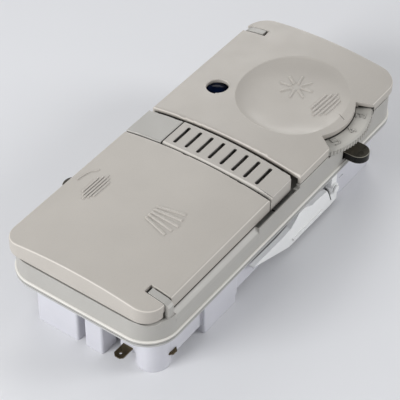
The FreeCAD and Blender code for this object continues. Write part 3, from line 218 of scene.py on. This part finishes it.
class Shader:
    """One material with a principled shader, fed by patterns in the object's own metres."""

    def __init__(self, name):
        self.material = bpy.data.materials.new(name)
        self.material.use_nodes = True
        self.tree = self.material.node_tree
        self.shader = self.tree.nodes["Principled BSDF"]
        coordinates = self.tree.nodes.new("ShaderNodeTexCoord")
        self.place = coordinates.outputs["Object"]
        self.facing = coordinates.outputs["Normal"]

    def node(self, kind, **settings):
        made = self.tree.nodes.new(kind)
        for key, value in settings.items():
            setattr(made, key, value)
        return made

    def link(self, source, target):
        self.tree.links.new(source, target)

    def set(self, **values):
        """Constants on the shader's own sockets, with an underscore for each space in a name."""
        for name, value in values.items():
            self.shader.inputs[name.replace("_", " ")].default_value = value

    def paint(self, colour):
        self.link(colour, self.shader.inputs["Base Color"])

    def rough(self, pattern, low, high):
        self.link(self.spread(pattern, low, high), self.shader.inputs["Roughness"])

    def relief(self, height, depth, strength, normal=None):
        """Fine bumps, over a rounded normal if there is one."""
        made = self.node("ShaderNodeBump")
        made.inputs["Distance"].default_value = depth
        made.inputs["Strength"].default_value = strength
        self.link(height, made.inputs["Height"])
        if normal is not None:
            self.link(normal, made.inputs["Normal"])
        self.link(made.outputs["Normal"], self.shader.inputs["Normal"])

    def noise(self, scale, detail, stretch=(1.0, 1.0, 1.0)):
        stretched = self.node("ShaderNodeMapping")
        stretched.inputs["Scale"].default_value = stretch
        self.link(self.place, stretched.inputs["Vector"])
        made = self.node("ShaderNodeTexNoise")
        made.inputs["Scale"].default_value = scale
        made.inputs["Detail"].default_value = detail
        self.link(stretched.outputs["Vector"], made.inputs["Vector"])
        return made.outputs["Fac"]

    def spread(self, source, low, high, span=NOISE_SPAN):
        """A value that goes from low to high while its source goes through a span."""
        made = self.node("ShaderNodeMapRange")
        made.inputs["From Min"].default_value, made.inputs["From Max"].default_value = span
        made.inputs["To Min"].default_value = low
        made.inputs["To Max"].default_value = high
        self.link(source, made.inputs["Value"])
        return made.outputs["Result"]

    def mix(self, share, first, second):
        made = self.node("ShaderNodeMix", data_type="RGBA")
        self.link(share, made.inputs["Factor"])
        for place, colour in zip(MIX_COLOURS, (first, second)):
            if isinstance(colour, tuple):
                made.inputs[place].default_value = (*colour, 1.0)
            else:
                self.link(colour, made.inputs[place])
        return made.outputs[MIX_RESULT]

    def mottle(self, pattern, colour, shades, share=1.0):
        """Two shades of a colour, mixed by a noise pattern."""
        amount = self.spread(self.noise(*pattern), 0.0, share)
        return self.mix(amount, *(shade(colour, factor) for factor in shades))

    def rounded(self, radius):
        """Normal that is rounded along sharp edges."""
        made = self.node("ShaderNodeBevel", samples=BEVEL_SAMPLES)
        made.inputs["Radius"].default_value = radius
        return made.outputs["Normal"]

    def painted_edge_light(self, round_normal):
        """Share of painted edge light along edges, where the rounded normal leaves the true one: a
        paler tone paints a highlight there, a darker one a shade.
        """
        agreement = self.node("ShaderNodeVectorMath", operation="DOT_PRODUCT")
        self.link(round_normal, agreement.inputs[0])
        self.link(self.node("ShaderNodeNewGeometry").outputs["Normal"], agreement.inputs[1])
        return self.spread(agreement.outputs["Value"], 1.0, 0.0, EDGE_LIGHT_SPAN)

    def painted_crevice_shade(self, span):
        """Share of painted shade in narrow joints and slots, where little open sky reaches."""
        hidden = self.node("ShaderNodeAmbientOcclusion", samples=HIDDEN_SAMPLES)
        hidden.inputs["Distance"].default_value = CREVICE_SHADE_REACH
        return self.spread(hidden.outputs["AO"], 1.0, 0.0, span)

    def band(self, source, low, high, soft):
        """Share where the upward part of a vector is inside a range."""
        split = self.node("ShaderNodeSeparateXYZ")
        self.link(source, split.inputs["Vector"])
        up = split.outputs["Z"]
        both = self.node("ShaderNodeMath", operation="MULTIPLY")
        self.link(self.spread(up, 0.0, 1.0, (low - soft, low + soft)), both.inputs[0])
        self.link(self.spread(up, 1.0, 0.0, (high - soft, high + soft)), both.inputs[1])
        return both.outputs["Value"]


def shade(colour, factor):
    return tuple(min(1.0, channel * factor) for channel in colour)


def moulded(
    name,
    colour,
    rough=MOULD_ROUGH,
    edge_radius=MOULD_EDGE,
    grain_depth=MOULD_GRAIN_DEPTH,
    edge_light_tone=MOULD_EDGE_HIGHLIGHT,
    band_highlight=None,
    bead=None,
    crevice_shade_span=CREVICE_SHADE_SPAN,
):
    """Satin moulded plastic: fine grain, faint flow clouds, painted highlights along its edges and
    painted shade in its joints.
    """
    made = Shader(name)
    body = made.mottle(MOULD_CLOUDS, colour, MOULD_SHADES)
    specks = made.spread(made.noise(*MOULD_SPECKS), 0.0, MOULD_SPECK_SHARE, MOULD_SPECK_SPAN)
    paint = made.mix(specks, body, shade(colour, MOULD_SPECK_SHADE))
    round_normal = made.rounded(edge_radius)
    # Painted edge light: a paler shade along edges as a highlight, a darker one on the dial as
    # shade
    paint = made.mix(made.painted_edge_light(round_normal), paint, shade(colour, edge_light_tone))
    # Painted highlight on rounded edges that face upwards
    if band_highlight:
        paint = made.mix(made.band(made.facing, *HIGHLIGHT_BAND), paint, shade(colour, band_highlight))
    if bead:
        paint = made.mix(made.band(made.place, *bead), paint, shade(colour, RIM_BEAD_SHADE))
    # Painted shade: joints and slots that little open sky reaches darken towards a small share of
    # the colour
    made.paint(made.mix(made.painted_crevice_shade(crevice_shade_span), paint, shade(colour, CREVICE_SHADE_TONE)))
    made.rough(made.noise(*MOULD_SATIN), *rough)
    made.relief(made.noise(*MOULD_GRAIN), grain_depth, MOULD_GRAIN_STRENGTH, round_normal)
    made.set(IOR=PLASTIC_IOR)
    return made.material


def milky(name, colour):
    """Natural polypropylene: light sinks in, walls are waxy and a little uneven."""
    made = Shader(name)
    body = made.mottle(MILKY_CLOUDS, colour, MILKY_SHADES)
    round_normal = made.rounded(MILKY_EDGE)
    # Painted highlight along the edges
    made.paint(made.mix(made.painted_edge_light(round_normal), body, shade(colour, MILKY_EDGE_HIGHLIGHT)))
    made.rough(made.noise(*MILKY_PATCHES), *MILKY_ROUGH)
    ripple = made.noise(*MILKY_RIPPLE)
    made.relief(ripple, MILKY_RIPPLE_DEPTH, MILKY_RIPPLE_STRENGTH, round_normal)
    made.set(IOR=PLASTIC_IOR, Subsurface_Weight=MILKY_SINK, Subsurface_Scale=MILKY_SINK_DEPTH)
    made.set(Subsurface_Radius=MILKY_SINK_COLOURS)
    return made.material


def rubber(name, colour):
    """Soft rubber: dull, dusty in patches."""
    made = Shader(name)
    made.paint(made.mottle(RUBBER_DUST, colour, RUBBER_SHADES, RUBBER_DUST_SHARE))
    made.rough(made.noise(*RUBBER_PATCHES), *RUBBER_ROUGH)
    made.relief(made.noise(*RUBBER_GRAIN), RUBBER_GRAIN_DEPTH, RUBBER_GRAIN_STRENGTH)
    made.set(Specular_IOR_Level=RUBBER_GLOSS)
    return made.material


def metal(name, colour, rough, stretch, shades):
    """Drawn or stamped metal with fine lines along one way and darker patches."""
    made = Shader(name)
    lines = made.noise(*METAL_LINES, stretch)
    made.paint(made.mottle(METAL_PATCHES, colour, shades))
    made.rough(lines, *rough)
    made.relief(lines, METAL_LINE_DEPTH, METAL_LINE_STRENGTH, made.rounded(METAL_EDGE))
    made.set(Metallic=1.0)
    return made.material


def gloss_black(name, colour):
    """Black plastic: a painted brownish sheen in streaks on top, painted shade on its sides and a
    painted highlight along its rim.
    """
    made = Shader(name)
    # Painted sheen in brown streaks on the top, painted shade on the sides, painted highlight along
    # the rim and edges
    sheen_streaks = made.noise(*BLACK_SHEEN_STREAKS)
    brown_sheen = tuple(channel * factor for channel, factor in zip(colour, BLACK_BROWN_SHEEN))
    sheen_top = made.mix(made.spread(sheen_streaks, 0.0, BLACK_SHEEN_SHARE), shade(colour, BLACK_TOP_SHEEN), brown_sheen)
    paint = made.mix(made.band(made.facing, *UPWARD), shade(colour, BLACK_SIDE_SHADE), sheen_top)
    rim_highlight = shade(colour, BLACK_RIM_HIGHLIGHT)
    paint = made.mix(made.band(made.facing, *HIGHLIGHT_BAND), paint, rim_highlight)
    round_normal = made.rounded(BLACK_EDGE)
    made.paint(made.mix(made.painted_edge_light(round_normal), paint, rim_highlight))
    made.rough(sheen_streaks, *BLACK_ROUGH)
    made.relief(made.noise(*BLACK_MARKS), BLACK_MARK_DEPTH, BLACK_MARK_STRENGTH, round_normal)
    made.set(IOR=PLASTIC_IOR, Specular_IOR_Level=BLACK_GLOSS)
    made.set(Coat_Weight=BLACK_COAT, Coat_Roughness=BLACK_COAT_ROUGH)
    return made.material


def window(name, colour):
    """Polished clear window over dark liquid, with a soft swirl of darker and paler blue in its
    colour.
    """
    made = Shader(name)
    made.paint(made.mottle(WINDOW_SWIRL, colour, WINDOW_SHADES))
    made.rough(made.noise(*WINDOW_PATCHES), *WINDOW_ROUGH)
    made.set(IOR=PLASTIC_IOR, Specular_IOR_Level=WINDOW_GLOSS)
    return made.material


FINISHES = {
    "frame_grey": (moulded, {"colour": FRAME, "band_highlight": FRAME_HIGHLIGHT, "bead": RIM_BEAD}),
    "lid_grey": (moulded, {"colour": LID, "edge_radius": LID_EDGE, "band_highlight": LID_HIGHLIGHT}),
    "latch_grey": (
        moulded,
        {
            "colour": LATCH,
            "edge_radius": LATCH_EDGE,
            "band_highlight": LID_HIGHLIGHT,
            "crevice_shade_span": LATCH_CREVICE_SHADE_SPAN,
        },
    ),
    "dial_grey": (moulded, {"colour": DIAL, "edge_light_tone": DIAL_EDGE_SHADE}),
    "housing_natural": (milky, {"colour": NATURAL}),
    "gasket_grey": (rubber, {"colour": GASKET}),
    "seal_rubber": (rubber, {"colour": SEAL}),
    "steel": (
        metal,
        {
            "colour": STEEL,
            "rough": STEEL_ROUGH,
            "stretch": STEEL_STRETCH,
            "shades": STEEL_SHADES,
        },
    ),
    "window_blue": (window, {"colour": WINDOW}),
    "lever_white": (
        moulded,
        {
            "colour": LEVER,
            "rough": LEVER_ROUGH,
            "edge_radius": LEVER_EDGE,
            "grain_depth": LEVER_GRAIN_DEPTH,
            "edge_light_tone": LEVER_EDGE_HIGHLIGHT,
        },
    ),
    "motor_white": (moulded, {"colour": MOTOR}),
    "bolt_dark": (gloss_black, {"colour": BLACK}),
    "terminal_metal": (
        metal,
        {
            "colour": BRONZE,
            "rough": BRONZE_ROUGH,
            "stretch": BRONZE_STRETCH,
            "shades": BRONZE_SHADES,
        },
    ),
}


def add_lamp(name, kind, at, spread, power, colour):
    data = bpy.data.lights.new(name, kind)
    if kind == "SUN":
        data.angle = spread
    else:
        data.size = spread
    data.energy = power
    data.color = colour
    made = bpy.data.objects.new(name, data)
    made.location = at
    made.rotation_euler = (LIGHT_AIM - Vector(at)).to_track_quat("-Z", "Y").to_euler()
    bpy.context.scene.collection.objects.link(made)


def add_camera():
    data = bpy.data.cameras.new("camera")
    data.sensor_width = SENSOR_MM
    data.lens = FOCAL_PX / PICTURE_PX * SENSOR_MM
    made = bpy.data.objects.new("camera", data)
    made.matrix_world = Matrix.Translation(CAMERA_AT) @ Matrix(CAMERA_TURN).to_4x4()
    bpy.context.scene.collection.objects.link(made)
    bpy.context.scene.camera = made


def add_floor():
    mesh = bpy.data.meshes.new("floor")
    half = FLOOR_HALF
    corners = [(-half, -half, 0), (half, -half, 0), (half, half, 0), (-half, half, 0)]
    mesh.from_pydata(corners, [], [(0, 1, 2, 3)])
    made = bpy.data.objects.new("floor", mesh)
    bpy.context.scene.collection.objects.link(made)
    finish = Shader("floor_paint")
    finish.paint(finish.mottle(FLOOR_CLOUDS, FLOOR_COLOUR, FLOOR_SHADES))
    finish.set(Roughness=FLOOR_ROUGH, Specular_IOR_Level=FLOOR_GLOSS)
    mesh.materials.append(finish.material)


def add_world():
    world = bpy.data.worlds.new("studio")
    world.use_nodes = True
    sky = world.node_tree.nodes["Background"]
    sky.inputs["Color"].default_value = (*WORLD_COLOUR, 1.0)
    sky.inputs["Strength"].default_value = WORLD_LIGHT
    bpy.context.scene.world = world


def dress():
    """Give every node the material of its slot in the record."""
    materials = {slot: make(slot, **facts) for slot, (make, facts) in FINISHES.items()}
    slots = {part["node"]: part["material_slot"] for part in frame["record"]["subparts"]}
    for name, piece in frame["nodes"].items():
        piece.data.materials.clear()
        piece.data.materials.append(materials[slots[name]])


def add_spring(node, joint, axis, fixed_end):
    """A copy of a coil's mesh, attached to the base in place of its hidden node."""
    piece = bpy.data.objects.new(node + "_coil", frame["nodes"][node].data.copy())
    bpy.context.scene.collection.objects.link(piece)
    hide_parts(node)
    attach(piece, "base")
    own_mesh(piece)


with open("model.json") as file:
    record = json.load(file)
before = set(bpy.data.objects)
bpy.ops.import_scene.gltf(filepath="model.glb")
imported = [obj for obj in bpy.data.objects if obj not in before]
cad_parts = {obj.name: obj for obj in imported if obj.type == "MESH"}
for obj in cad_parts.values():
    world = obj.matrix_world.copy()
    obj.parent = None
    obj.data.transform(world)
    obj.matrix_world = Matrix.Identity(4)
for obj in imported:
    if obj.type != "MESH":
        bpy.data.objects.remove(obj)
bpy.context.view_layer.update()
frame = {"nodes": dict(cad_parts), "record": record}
bpy.context.scene.view_settings.view_transform = "Standard"
add_camera()
add_floor()
add_world()
for lamp_name, lamp_facts in LAMPS.items():
    add_lamp(lamp_name, **lamp_facts)
dress()
for spring in SPRINGS:
    add_spring(*spring)
